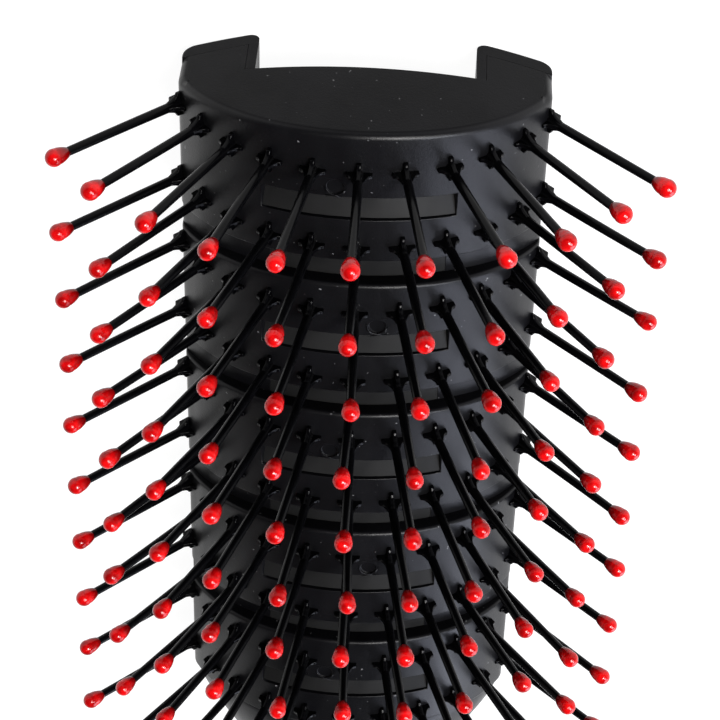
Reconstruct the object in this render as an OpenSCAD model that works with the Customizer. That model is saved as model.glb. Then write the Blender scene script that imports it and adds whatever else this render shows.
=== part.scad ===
// Curved vented hairbrush with ball-tipped nylon pins.
// Frame: X across the head, +Y towards the head's tip, +Z out of the bristle face.
// The brush lies on its two back rails and the belly of its grip, so z = 0 is the surface that
// it rests on, and the origin is under the middle of its length. All sizes are in millimetres.

/* [Overall] */
// Length from the tip of the head to the end of the handle
total_len = 226; // [215:1:250]

/* [Head section] */
// Height of the head from its rails to the crest of the bristle face
head_h = 22; // [21:0.5:24]
// Radius of the curved bristle face
face_r = 25.2; // [24.6:0.1:27]
// Angle on either side of the crest where the curved face turns into the side wall
face_half_angle = 63; // [58:1:64]
// Width across the back faces of the two rails
back_w = 44.8; // [43:0.2:44.8]
// Thickness of the front shell's wall
wall = 2; // [1.8:0.1:2.2]
// Thickness of the front shell's side walls
side_wall = 1.8; // [1.6:0.1:2]
// Radius of the outer back corners of the rails
rail_corner_r = 1.8; // [0.6:0.1:2]
// Radius of the inner back corners of the rails, which the brush rests on
rest_corner_r = 1.2; // [0.6:0.1:1.4]
// Height that the back face of a rail rises from its inner edge to its outer one
rail_rise = 1.6; // [0.4:0.1:2]

/* [Back channel] */
// Width of the channel between the two back rails
channel_w = 26.4; // [24:0.2:28]
// Depth of the channel between the two back rails
channel_h = 7.7; // [6:0.1:8]
// Thickness of the back cover over the rails
rail_t = 2.2; // [1.6:0.1:2.6]
// Thickness of the back cover along the sides of the channel
channel_wall = 1.2; // [1:0.1:1.6]
// Thickness of the back cover at the floor of the channel
floor_t = 1.8; // [1.4:0.1:2.2]
// Thickness of the end plate at the tip of the head
plate_t = 2.4; // [2:0.1:3]
// Parting gap between the front shell and the back cover
seam = 0.05; // [0.05:0.01:0.2]

/* [Bands and windows] */
// Number of bands in the bristle face
bands = 5; // [3:1:5]
// Distance from one band to the next
band_pitch = 20.5; // [20:0.05:21]
// Distance from the first row of pins in a band to the second
row_pitch = 10.65; // [10.2:0.05:11]
// Distance from the tip of the head to the first row of pins
tip_margin = 5.5; // [5:0.1:7]
// Distance from a band's upper edge to its first row of pins
band_lead = 4.25; // [4:0.05:4.5]
// Distance from a band's second row of pins to its lower edge
band_tail = 1.95; // [1.8:0.05:2.2]
// Radius of the arcs that the band edges and the tip of the head follow
edge_arc_r = 105; // [90:5:140]
// Half width of the windows and of the slots between bands
window_half_w = 11.6; // [10.5:0.1:12]
// Distance from a band's first row of pins to the upper edge of its window
window_top = 3.4; // [3.2:0.1:3.6]
// Height of a window
window_h = 3.2; // [2.6:0.1:3.4]
// Extra radius of the sunk wall between two bands
sunk_extra_r = 1.2; // [1:0.1:1.4]
// Distance that the centre of the sunk wall lies below that of the face
sunk_drop = 3.6; // [3.4:0.1:3.8]
// Radius of the round moulding mark above each window
mark_r = 1.05; // [0.8:0.05:1.2]
// Depth of the round moulding mark
mark_depth = 0.3; // [0.2:0.05:0.4]
// Distance of the moulding mark from the middle of the band
mark_x = 2.75; // [2.4:0.05:3]
// Distance of the moulding mark below the band's first row of pins
mark_lead = 2.1; // [2:0.05:2.3]

/* [Pins] */
// Number of pins in a row
pins_per_row = 11; // [7:2:11]
// Angle round the face from one pin to the next
pin_step = 12.3; // [11.5:0.1:12.4]
// Lean of a pin as a part of the face's own angle at its root
pin_fan = 0.75; // [0.7:0.01:0.9]
// Length of a pin from the face to the middle of its ball tip
pin_len = 18.6; // [15:0.1:20]
// Radius of a pin's stem at its root
stem_root_r = 0.6; // [0.55:0.01:0.75]
// Radius of a pin's stem at its tip
stem_tip_r = 0.55; // [0.45:0.01:0.55]
// Distance across the crossed fins at a pin's root
fin_span = 3.2; // [2.6:0.1:3.2]
// Thickness of the fins
fin_t = 0.52; // [0.4:0.02:0.6]
// Height of the fins above the face at their outer edge
fin_edge_h = 0.6; // [0.4:0.05:0.8]
// Height of the fins above the face where they meet the stem
fin_stem_h = 2.2; // [1.2:0.1:2.6]
// Radius of the round foot inside the head, which is too wide for the arms of the crossed hole
foot_r = 1.3; // [1:0.1:1.3]
// Thickness of the foot
foot_t = 0.8; // [0.6:0.1:1]
// Radius of the red ball tip
ball_r = 1.1; // [0.9:0.05:1.2]
// Length of the tip's taper that runs down the stem from the middle of the ball
ball_neck = 1.9; // [1.3:0.05:2.2]
// Thickness of the tip's wall at the end of the taper
lip_t = 0.08; // [0.06:0.01:0.15]
// Radial play between the stem and the tip
stem_play = 0.03; // [0.02:0.01:0.05]
// Radius of the crossed hole's play round the fins
hole_play = 0.05; // [0.03:0.01:0.1]

/* [Pin carriers] */
// Thickness of the arched carriers under the shell, which the feet lie against
carrier_t = 1.2; // [1:0.1:1.3]
// Gap between the shell's wall and a carrier, and between a carrier and a foot
carrier_gap = 0.1; // [0.05:0.05:0.15]
// Half width of a carrier
carrier_half_w = 20.4; // [20:0.1:20.5]
// Reach of a carrier beyond its first row of pins
carrier_lead = 2.4; // [2:0.1:2.4]
// Reach of a carrier beyond its second row of pins
carrier_tail = 1.8; // [1.7:0.05:1.85]
// Length of a carrier's tongue, which closes the floor of the slot below the band
lip_len = 3.9; // [3.6:0.1:4]
// Depth below the face of the sloping pad in each window, at the window's upper edge
pad_depth = 1.3; // [1:0.1:1.6]
// Depth of the same pad at the window's lower edge
pad_low_depth = 0.45; // [0.3:0.05:0.9]

/* [Back vents] */
// Number of rows of vents in the floor of the channel
vent_rows = 6; // [4:1:6]
// Distance from the first row of pins to the first row of vents
vent_start = 16.6; // [16:0.1:17]
// Distance from one row of vents to the next
vent_pitch = 10.75; // [10.6:0.05:10.8]
// Width of a vent
vent_w = 3.6; // [3:0.1:4]
// Length of a vent
vent_len = 9.4; // [8:0.2:9.6]
// Half width of the spine between the two vents in a row
vent_spine = 1.5; // [1.2:0.1:2]

/* [Shoulder and neck] */
// Distance from the last row of pins to the shoulder
shoulder_lead = 2.5; // [2.4:0.1:3]
// Length of the shoulder that narrows into the neck
shoulder_len = 27; // [24:1:32]
// Radius of the neck
neck_r = 8.4; // [8:0.1:9]
// Height of the handle's axis above the surface that the brush rests on
axis_h = 10.8; // [10.8:0.1:11.2]
// Length of the tongue that holds the handle in the head
tongue_len = 16; // [14:1:18]
// Width of the tongue
tongue_w = 18; // [16:1:18]
// Thickness of the tongue
tongue_t = 5.2; // [4.5:0.1:5.2]

/* [Handle] */
// Radius of the core inside the rubber grip
core_r = 6; // [5.5:0.1:6.5]
// Radius of the stub that the end cap is pressed on
stub_r = 4.5; // [4:0.1:5]
// Length of the stub
stub_len = 6; // [5:0.5:7]
// Length of the cylindrical seat behind the shoulder
seat_len = 2.5; // [2:0.5:4]
// Length of the trim ring
ring_len = 3; // [2:0.5:4]
// Radius of the trim ring
ring_r = 9.2; // [8.8:0.1:9.6]
// Length of the end cap
cap_len = 17; // [16:0.5:20]
// Radius of the grip at its front end
grip_front_r = 9; // [8.6:0.1:9.4]
// Radius of the grip at its fullest, which touches the surface that the brush rests on
grip_belly_r = 10.8; // [10.4:0.1:10.8]
// Radius of the grip at its back end
grip_back_r = 9.2; // [8.8:0.1:9.6]
// Number of thumb grooves round the grip
grooves = 6; // [3:1:8]
// Depth of a thumb groove
groove_depth = 0.5; // [0.3:0.1:0.7]
// Distance from one thumb groove to the next
groove_pitch = 4; // [3:0.5:5]
// Thickness of the end cap between its two flats
cap_flat_t = 11; // [9:0.5:13]
// Radius of the hanging hole
hang_r = 3.5; // [3:0.1:4]
// Distance from the end of the handle to the middle of the hanging hole
hang_margin = 7; // [6:0.5:7.5]

/* [Screws] */
// Radius of a screw's shank
screw_r = 1.1; // [1:0.1:1.3]
// Radial play of a screw in the back cover
screw_play = 0.15; // [0.1:0.05:0.2]
// Radius of a screw's head
screw_head_r = 2.1; // [1.8:0.1:2.4]
// Thickness of a screw's head
screw_head_t = 1.2; // [1:0.1:1.5]
// Length of a screw's shank
screw_len = 6; // [5:0.5:6.5]
// Distance of each screw from the middle of the head
screw_x = 5; // [4:0.5:6]
// Half length of the crossed slots in a screw's head
drive_half = 1.3; // [1:0.1:1.5]
// Width of the crossed slots
drive_w = 0.5; // [0.4:0.1:0.7]
// Depth of the crossed slots
drive_depth = 0.6; // [0.4:0.1:0.8]

/* [Hidden] */

eps = 0.01;
under_band = 0.3; // how far a sunk wall runs on under the next band
big = 200;
face_fn = 240;
fine_fn = 48;

// Places along the head
tip_y = total_len / 2;
first_row_y = tip_y - tip_margin;
function row_y(row) = first_row_y - floor(row / 2) * band_pitch - (row % 2) * row_pitch;
function band_top_y(band) = row_y(2 * band) + band_lead;
function band_low_y(band) = row_y(2 * band + 1) - band_tail;
head_end_y = row_y(2 * bands - 1) - shoulder_lead;

// Section of the head
face_z = head_h - face_r;
side_z = face_z + face_r * cos(face_half_angle);
side_x = face_r * sin(face_half_angle);
inner_r = face_r - wall;
floor_top_z = channel_h + floor_t;
carrier_r = inner_r - carrier_gap;
foot_z = -wall - 2 * carrier_gap - carrier_t;
rail_slope = rail_rise / (back_w / 2 - channel_w / 2);
rail_steep = sqrt(1 + rail_slope * rail_slope);
rail_drop = rest_corner_r * (rail_slope + rail_steep - 1);
sunk_r = face_r + sunk_extra_r;
sunk_z = face_z - sunk_drop;

// Places along the handle
neck_y = head_end_y - shoulder_len;
seat_y = neck_y - seat_len;
grip_y = seat_y - ring_len;
cap_y = -total_len / 2 + cap_len;
hang_y = -total_len / 2 + hang_margin;
grip_len = grip_y - cap_y;
screw_y = head_end_y + tongue_len / 2;

// Height of the back face of a rail, at a distance x from the middle of the head
function rail_z(x) = rail_slope * (x - channel_w / 2) - rail_drop;

function arc_points(cx, cy, r, a0, a1, n) =
    [for (i = [0 : n]) [cx + r * cos(a0 + (a1 - a0) * i / n), cy + r * sin(a0 + (a1 - a0) * i / n)]];

// ---- building blocks -------------------------------------------------------------------

// A cylinder along Y, from y0 up to y1
module along_y(r, z, y0, y1, fn = face_fn) {
    translate([0, y1, z]) rotate([90, 0, 0]) cylinder(r = r, h = y1 - y0, $fn = fn);
}

// A box given by its lowest and highest corners
module block(low, high) {
    translate(low) cube(high - low);
}

// Everything on the handle's side of an arc whose top is at y, as the band edges run
module below_arc(y) {
    translate([0, y - edge_arc_r, -1]) cylinder(r = edge_arc_r, h = head_h + 4, $fn = 720);
}

// The strip between two of those arcs
module between_arcs(low_y, high_y) {
    difference() {
        below_arc(high_y);
        below_arc(low_y);
    }
}

// Half width of the head's side at a height z, inset by a wall
function wall_x(z, inset) = back_w / 2 + (side_x - back_w / 2) * z / side_z - inset;

// The outline of the head's sides and back, drawn wide of the curved face
module side_outline() {
    half = back_w / 2;
    inner = channel_w / 2;
    polygon([
        [-half, rail_z(half)], [-inner, rail_z(inner)], [inner, rail_z(inner)], [half, rail_z(half)],
        [wall_x(head_h, 0), head_h], [0, 2 * head_h], [-wall_x(head_h, 0), head_h]
    ]);
}

// The outline of the space between the side walls
module hollow_outline() {
    polygon([
        [-wall_x(-1, side_wall), -1], [wall_x(-1, side_wall), -1],
        [wall_x(head_h, side_wall), head_h], [0, 2 * head_h], [-wall_x(head_h, side_wall), head_h]
    ]);
}

// Extrudes an outline of the section along Y, from y0 up to y1
module extrude_y(y0, y1) {
    translate([0, y1, 0]) rotate([90, 0, 0]) linear_extrude(height = y1 - y0) children();
}

// The solid outline of the head, from y0 up to y1
module head_solid(y0, y1) {
    intersection() {
        along_y(face_r, face_z, y0, y1);
        extrude_y(y0, y1) side_outline();
    }
}

// The hollow inside the front shell's wall
module head_hollow(y0, y1) {
    intersection() {
        along_y(inner_r, face_z, y0, y1);
        extrude_y(y0, y1) hollow_outline();
    }
}

// Everything up to a height above the slanting back faces of the rails
module rail_zone(height, y0, y1) {
    half = back_w / 2 + 1;
    inner = channel_w / 2;
    extrude_y(y0, y1) polygon([
        [-half, -2], [half, -2], [half, rail_z(half) + height], [inner, rail_z(inner) + height],
        [-inner, rail_z(inner) + height], [-half, rail_z(half) + height]
    ]);
}

// A cutter that rounds the long edge between a rail's back face and its upright side at x,
// with the rail on the inner side of x where inward is -1, and on the outer side where it is 1
module rail_rounder(x, r, inward) {
    cx = x + inward * r;
    cz = rail_z(cx) + r * rail_steep;
    touch_x = cx + r * rail_slope / rail_steep;
    touch_z = cz - r / rail_steep;
    difference() {
        extrude_y(head_end_y - 1, tip_y + 2) polygon([
            [x, cz], [x - inward, cz], [x - inward, -2], [touch_x, -2], [touch_x, touch_z], [cx, cz]
        ]);
        translate([cx, 0, 0]) along_y(r, cz, head_end_y - 2, tip_y + 3, fine_fn);
    }
}

// ---- front shell -----------------------------------------------------------------------

// The space of the back cover, which the front shell leaves free
module cover_space() {
    half = channel_w / 2 + channel_wall + seam;
    rail_zone(rail_t + seam, -big, big);
    block([-half, -big, -2], [half, big, channel_h + eps]);
    intersection() {
        block([-half, -big, -2], [half, tip_y, floor_top_z + seam]);
        below_arc(tip_y - plate_t);
    }
}

// The sunk walls that join two bands, one on each side of the slot between them
module sunk_walls(band) {
    for (side = [0, 1]) mirror([side, 0, 0]) difference() {
        intersection() {
            along_y(sunk_r, sunk_z, head_end_y, tip_y);
            block([window_half_w, head_end_y, side_z - wall], [side_x - 0.3, tip_y, head_h]);
            below_arc(band_low_y(band));
        }
        along_y(sunk_r - wall, sunk_z, head_end_y - 1, tip_y + 1);
        below_arc(band_top_y(band + 1) - under_band);
    }
}

// The crossed outline of a pin's root, with a play all round
module cross(play) {
    square([fin_span + 2 * play, fin_t + 2 * play], center = true);
    square([fin_t + 2 * play, fin_span + 2 * play], center = true);
}

// Puts its children on the face, at a pin's root and along its lean
module at_pin(row, column) {
    a = (column - (pins_per_row - 1) / 2) * pin_step;
    translate([face_r * sin(a), row_y(row), face_z + face_r * cos(a)])
        rotate([0, a * pin_fan, 0])
            children();
}

module front_shell() {
    color("#1b1b1d") difference() {
        union() {
            difference() {
                intersection() {
                    head_solid(head_end_y, tip_y + 1);
                    below_arc(tip_y);
                }
                intersection() {
                    head_hollow(head_end_y - 1, tip_y);
                    below_arc(tip_y - plate_t);
                }
                for (band = [0 : bands - 2]) difference() {
                    between_arcs(band_top_y(band + 1), band_low_y(band));
                    along_y(sunk_r, sunk_z, head_end_y - 5, tip_y + 5);
                }
            }
            for (band = [0 : bands - 2]) sunk_walls(band);
        }
        cover_space();
        for (band = [0 : bands - 1]) {
            window_y = row_y(2 * band) - window_top;
            side = band % 2 == 0 ? -1 : 1;
            mark_z = face_z + sqrt(face_r * face_r - mark_x * mark_x);
            intersection() {
                between_arcs(window_y - window_h, window_y);
                block([-window_half_w, -big, floor_top_z], [window_half_w, big, head_h + 1]);
            }
            translate([side * mark_x, row_y(2 * band) - mark_lead, mark_z - mark_depth])
                cylinder(r = mark_r, h = 2, $fn = fine_fn);
        }
        for (row = [0 : 2 * bands - 1], column = [0 : pins_per_row - 1])
            at_pin(row, column) translate([0, 0, -2 * wall])
                linear_extrude(height = 2 * wall + 2) cross(hole_play);
    }
}

// ---- back cover ------------------------------------------------------------------------

module vent(x, y) {
    straight = (vent_len - vent_w) / 2;
    for (side = [-1, 1]) translate([x + side * straight, y, 0])
        cylinder(r = vent_w / 2, h = head_h, $fn = fine_fn);
    block([x - straight, y - vent_w / 2, 0], [x + straight, y + vent_w / 2, head_h]);
}

module back_cover() {
    inner = channel_w / 2;
    outer = inner + channel_wall;
    vent_x = vent_spine + vent_len / 2;
    color("#202022") difference() {
        intersection() {
            head_solid(head_end_y, tip_y + 1);
            below_arc(tip_y);
            union() {
                rail_zone(rail_t, head_end_y, tip_y);
                for (side = [-1, 1]) translate([side * (inner + outer) / 2, 0, 0])
                    block([-channel_wall / 2, head_end_y, -rail_drop], [channel_wall / 2, tip_y, channel_h]);
                intersection() {
                    block([-outer, head_end_y, channel_h - eps], [outer, tip_y, floor_top_z]);
                    below_arc(tip_y - plate_t - seam);
                }
            }
        }
        block([-inner, head_end_y - 1, -1], [inner, tip_y + 1, channel_h]);
        for (side = [0, 1]) mirror([side, 0, 0]) {
            rail_rounder(inner, rest_corner_r, 1);
            rail_rounder(back_w / 2, rail_corner_r, -1);
        }
        for (row = [0 : vent_rows - 1], side = [-1, 1])
            vent(side * vent_x, first_row_y - vent_start - row * vent_pitch);
        for (side = [-1, 1]) translate([side * screw_x, screw_y, 0])
            cylinder(r = screw_r + screw_play, h = head_h, $fn = fine_fn);
    }
}

// ---- pins, tips and carriers -----------------------------------------------------------

// One fin pair of a pin's root, as an outline that rises to the stem
module fin_pair() {
    half = fin_span / 2;
    low = foot_z - eps;
    rotate([90, 0, 0]) translate([0, 0, -fin_t / 2]) linear_extrude(height = fin_t)
        polygon([
            [-half, low], [half, low], [half, fin_edge_h],
            [stem_root_r, fin_stem_h], [-stem_root_r, fin_stem_h], [-half, fin_edge_h]
        ]);
}

module pin() {
    translate([0, 0, foot_z - foot_t]) cylinder(r = foot_r, h = foot_t, $fn = fine_fn);
    fin_pair();
    rotate([0, 0, 90]) fin_pair();
    translate([0, 0, foot_z - foot_t / 2])
        cylinder(r1 = stem_root_r, r2 = stem_tip_r, h = pin_len - foot_z + foot_t / 2, $fn = fine_fn);
}

// A drop-shaped tip: a ball that tapers down the stem
module tip() {
    taper_a = 72;
    bore_r = stem_tip_r + stem_play;
    difference() {
        union() {
            sphere(r = ball_r, $fn = fine_fn);
            translate([0, 0, -ball_neck])
                cylinder(
                    r1 = bore_r + lip_t,
                    r2 = ball_r * sin(taper_a),
                    h = ball_neck - ball_r * cos(taper_a),
                    $fn = fine_fn
                );
        }
        translate([0, 0, -2 * ball_neck]) cylinder(r = bore_r, h = 2 * ball_neck, $fn = fine_fn);
    }
}

module pin_row(row) {
    color("#0b0b0c") for (column = [0 : pins_per_row - 1]) at_pin(row, column) pin();
}

module tip_row(row) {
    color("#c3161d") for (column = [0 : pins_per_row - 1])
        at_pin(row, column) translate([0, 0, pin_len]) tip();
}

// The sloping top of the pad in a window whose upper edge is at window_y
module pad_cone(window_y) {
    slope = (pad_depth - pad_low_depth) / window_h;
    below = 1;
    low_y = window_y - window_h - below;
    translate([0, window_y, face_z]) rotate([90, 0, 0])
        cylinder(
            r1 = face_r - pad_depth,
            r2 = face_r - pad_low_depth + slope * below,
            h = window_y - low_y,
            $fn = face_fn
        );
}

// An arched strip under a band, which its pins pass through. A pad on it fills the band's
// window, and a tongue below its second row closes the floor of the slot.
module pin_carrier(band) {
    first = row_y(2 * band);
    second = row_y(2 * band + 1);
    half_w = window_half_w - carrier_gap;
    window_y = first - window_top;
    low_z = face_z + carrier_r / 3;
    inner_carrier_r = carrier_r - carrier_t;
    color("#2a2a2c") difference() {
        union() {
            intersection() {
                along_y(carrier_r, face_z, second - carrier_tail, first + carrier_lead);
                block([-carrier_half_w, -big, low_z], [carrier_half_w, big, head_h]);
                below_arc(first + band_lead - under_band - carrier_gap);
            }
            if (band < bands - 1) intersection() {
                along_y(carrier_r, face_z, second - 2 * lip_len, second);
                block([-half_w, -big, low_z], [half_w, big, head_h]);
                between_arcs(second - band_tail - lip_len, second);
            }
            intersection() {
                pad_cone(window_y);
                block([-half_w, -big, low_z], [half_w, big, head_h]);
                between_arcs(window_y - window_h + carrier_gap, window_y - carrier_gap);
            }
        }
        along_y(inner_carrier_r, face_z, second - 3 * lip_len, first + 2 * carrier_lead);
        for (row = [2 * band, 2 * band + 1], column = [0 : pins_per_row - 1])
            at_pin(row, column) translate([0, 0, foot_z - carrier_t])
                linear_extrude(height = 2 * carrier_t + wall) cross(hole_play);
    }
}

// ---- handle ----------------------------------------------------------------------------

// Distance from the handle's axis to the head's outline, in a direction a in the section
function outline_reach(a) =
    let (
        dx = cos(a),
        dz = sin(a),
        up = axis_h - face_z,
        to_face = -up * dz + sqrt(pow(up * dz, 2) - up * up + face_r * face_r),
        to_side = abs(dx) > 0.001 ? back_w / 2 / abs(dx) : big,
        to_back = dz < -0.001 ? axis_h / -dz : big,
        down = rail_slope * abs(dx) - dz,
        to_rail = down > 0.001 ? (axis_h - rail_z(0)) / down : big
    )
    min(to_face, to_side, to_back, to_rail);

shoulder_steps = 14;
shoulder_sides = 48;

// A ring of the shoulder, where t runs from 0 at the head to 1 at the neck
function shoulder_ring(t) =
    let (ease = t * t * (3 - 2 * t))
    [for (i = [0 : shoulder_sides - 1])
        let (
            a = 360 * i / shoulder_sides,
            reach = outline_reach(a) * (1 - ease) + neck_r * ease
        )
        [reach * cos(a), head_end_y - shoulder_len * t, axis_h + reach * sin(a)]];

module shoulder() {
    points = [for (k = [0 : shoulder_steps]) each shoulder_ring(k / shoulder_steps)];
    n = shoulder_sides;
    walls = [for (k = [0 : shoulder_steps - 1], i = [0 : n - 1])
        let (
            a = k * n + i,
            b = k * n + (i + 1) % n
        )
        each [[a, b + n, b], [a, a + n, b + n]]];
    head_face = [for (i = [0 : n - 1]) i];
    neck_face = [for (i = [n - 1 : -1 : 0]) shoulder_steps * n + i];
    polyhedron(points = points, faces = concat(walls, [head_face, neck_face]));
}

module handle_core() {
    tongue_low = floor_top_z + 0.15;
    color("#151517") difference() {
        union() {
            shoulder();
            block(
                [-tongue_w / 2, head_end_y - 1, tongue_low],
                [tongue_w / 2, head_end_y + tongue_len, tongue_low + tongue_t]
            );
            along_y(neck_r - 0.2, axis_h, seat_y, neck_y + 1);
            along_y(core_r, axis_h, cap_y, seat_y + 1);
            along_y(stub_r, axis_h, cap_y - stub_len, cap_y + 1);
        }
        for (side = [-1, 1]) translate([side * screw_x, screw_y, 0])
            cylinder(r = screw_r, h = channel_h + screw_len, $fn = fine_fn);
    }
}

module trim_ring() {
    half = ring_len / 2;
    bulge_r = ring_r + 0.3;
    color("#0f0f10") translate([0, grip_y + half, axis_h]) rotate([90, 0, 0]) rotate_extrude($fn = face_fn)
        polygon([
            [core_r, -half], [ring_r - 0.5, -half], [ring_r, 0.5 - half], [bulge_r, 0],
            [ring_r, half - 0.5], [ring_r - 0.5, half], [core_r, half]
        ]);
}

// Radius of the grip at u, from 0 at its front end to 1 at its back end
function grip_radius(u) =
    let (
        belly = pow(sin(180 * pow(u, 0.8)), 2),
        base = grip_front_r + (grip_back_r - grip_front_r) * u,
        along = u * grip_len - groove_pitch,
        in_grooves = along > 0 && along < grooves * groove_pitch,
        groove = in_grooves ? groove_depth * (1 - cos(360 * along / groove_pitch)) / 2 : 0
    )
    base + (grip_belly_r - (grip_front_r + grip_back_r) / 2) * belly - groove;

module grip_sleeve() {
    steps = 120;
    outline = [for (i = [0 : steps]) [grip_radius(i / steps), grip_len * i / steps]];
    color("#1d1d1f") translate([0, grip_y, axis_h]) rotate([90, 0, 0]) rotate_extrude($fn = face_fn)
        polygon(concat([[core_r, 0]], outline, [[core_r, grip_len]]));
}

module end_cap() {
    edge = 1;
    color("#151517") difference() {
        intersection() {
            translate([0, cap_y, axis_h]) rotate([90, 0, 0]) rotate_extrude($fn = face_fn)
                polygon(concat(
                    [[0, 0], [grip_back_r - edge, 0]],
                    arc_points(grip_back_r - edge, edge, edge, -90, 0, 6),
                    [for (i = [0 : 20]) let (a = 90 * i / 20)
                        [grip_back_r * cos(a), cap_len - grip_back_r + grip_back_r * sin(a)]]
                ));
            block([-big, -total_len, axis_h - cap_flat_t / 2], [big, cap_y + 1, axis_h + cap_flat_t / 2]);
        }
        along_y(stub_r, axis_h, cap_y - stub_len - 0.3, cap_y + 1);
        translate([0, hang_y, -1]) cylinder(r = hang_r, h = 2 * axis_h + 2, $fn = fine_fn);
    }
}

module tongue_screws() {
    color("#8d8f92") for (side = [-1, 1]) translate([side * screw_x, screw_y, channel_h]) {
        cylinder(r = screw_r, h = screw_len - 0.2, $fn = fine_fn);
        difference() {
            translate([0, 0, -screw_head_t]) cylinder(r = screw_head_r, h = screw_head_t, $fn = fine_fn);
            for (turn = [0, 90]) rotate([0, 0, turn])
                block(
                    [-drive_half, -drive_w / 2, -screw_head_t - 1],
                    [drive_half, drive_w / 2, -screw_head_t + drive_depth]
                );
        }
    }
}

// ---- assembly --------------------------------------------------------------------------

function two_digits(n) = n < 10 ? str("0", n) : str(n);

front_shell();
back_cover();
for (row = [0 : 2 * bands - 1]) {
    pin_row(row);
    tip_row(row);
}
for (band = [0 : bands - 1])
    pin_carrier(band);
handle_core();
trim_ring();
grip_sleeve();
end_cap();
tongue_screws();
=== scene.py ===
"""Curved vented hairbrush with ball-tipped pins, lying on its back on a pale floor."""
import bmesh
import bpy
import math
import random
from mathutils import Matrix, Vector


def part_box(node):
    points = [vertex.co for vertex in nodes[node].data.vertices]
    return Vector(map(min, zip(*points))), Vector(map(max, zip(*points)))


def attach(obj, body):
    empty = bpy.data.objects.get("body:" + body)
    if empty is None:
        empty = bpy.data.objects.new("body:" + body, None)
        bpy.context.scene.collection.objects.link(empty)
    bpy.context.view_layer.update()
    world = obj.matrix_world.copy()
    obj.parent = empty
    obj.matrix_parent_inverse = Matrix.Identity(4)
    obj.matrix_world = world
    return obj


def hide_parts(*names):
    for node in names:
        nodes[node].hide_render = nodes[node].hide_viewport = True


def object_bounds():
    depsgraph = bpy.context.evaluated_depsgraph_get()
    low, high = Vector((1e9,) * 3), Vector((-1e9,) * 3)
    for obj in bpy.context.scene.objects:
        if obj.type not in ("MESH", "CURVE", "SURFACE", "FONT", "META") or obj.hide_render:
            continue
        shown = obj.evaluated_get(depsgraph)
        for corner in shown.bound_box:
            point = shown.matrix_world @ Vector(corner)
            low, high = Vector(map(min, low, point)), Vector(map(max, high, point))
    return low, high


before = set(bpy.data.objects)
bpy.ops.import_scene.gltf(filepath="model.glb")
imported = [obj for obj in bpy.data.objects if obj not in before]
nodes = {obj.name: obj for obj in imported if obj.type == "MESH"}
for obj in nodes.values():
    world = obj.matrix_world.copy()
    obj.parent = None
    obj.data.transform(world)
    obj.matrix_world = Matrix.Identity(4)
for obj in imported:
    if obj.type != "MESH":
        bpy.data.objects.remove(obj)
cad_low, cad_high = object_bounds()

MM = 0.001
rng = random.Random(11)

# ---- sizes that the CAD model was built with ---------------------------------------------

FACE_R = 25.2 * MM          # radius of the curved bristle face
SIDE_ANGLE = math.radians(63)   # where the face's arc meets the line of the side wall
BACK_HALF_W = 22.4 * MM     # half the width across the rails
SHELL_T = 2.0 * MM          # wall of the front shell
PLATE_T = 2.4 * MM          # end plate
RAIL_T = 2.2 * MM           # back cover over the rails
CHANNEL_HALF_W = 13.2 * MM
REST_CORNER_R = 1.2 * MM    # inner back edge of a rail
RAIL_RISE = 1.6 * MM        # how far a rail's back face rises to its outer edge
SEAM = 0.05 * MM            # between the shell and the back cover
NOTCH_HALF_W = 14.45 * MM   # half the width of the notch that the back cover fills
NOTCH_Z = 7.71 * MM
EDGE_ARC_R = 105 * MM       # arc that all the band edges follow
WINDOW_HALF_W = 11.6 * MM
WINDOW_TOP = 3.4 * MM       # from a band's first row of pins
WINDOW_H = 3.2 * MM
BAND_LEAD = 4.25 * MM       # from a band's upper edge to its first row of pins
BAND_TAIL = 1.95 * MM       # from its second row of pins to its lower edge
SUNK_R = 26.4 * MM          # the sunk wall between two bands
SUNK_DROP = 3.6 * MM        # its centre lies this far below the face's centre
MARK_R = 1.05 * MM          # round moulding mark above each window
MARK_DEPTH = 0.3 * MM
MARK_X = 2.75 * MM
MARK_LEAD = 2.1 * MM        # from a band's first row of pins

PINS_PER_ROW = 11
PIN_STEP = math.radians(12.3)
PIN_FAN = 0.75              # lean of a pin as a part of the face's angle
PIN_LEN = 18.6 * MM
STEM_ROOT_R = 0.6 * MM
STEM_TIP_R = 0.55 * MM
FIN_SPAN = 3.2 * MM
FIN_T = 0.52 * MM
FIN_EDGE_H = 0.6 * MM
FIN_STEM_H = 2.2 * MM
FOOT_Z = -3.4 * MM          # top of the foot, under the carrier
FOOT_R = 1.3 * MM
FOOT_T = 0.8 * MM
BALL_R = 1.1 * MM
BALL_NECK = 1.9 * MM        # length of the taper below the middle of the ball
LIP_T = 0.08 * MM           # wall of the tip at the end of its taper
BORE_PLAY = 0.01 * MM       # between the stem and the tip

AXIS_H = 10.8 * MM          # handle's axis
SHOULDER_LEN = 27.0 * MM
NECK_R = 8.4 * MM
SEAT_R = 8.2 * MM
CORE_R = 6.0 * MM
STUB_R = 4.5 * MM
STUB_LEN = 6.0 * MM
TONGUE_HALF_W = 9.0 * MM
TONGUE_LEN = 16.0 * MM
TONGUE_LOW = 9.65 * MM
TONGUE_HIGH = 14.85 * MM

# ---- sizes that only the visible model has --------------------------------------------------

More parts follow.
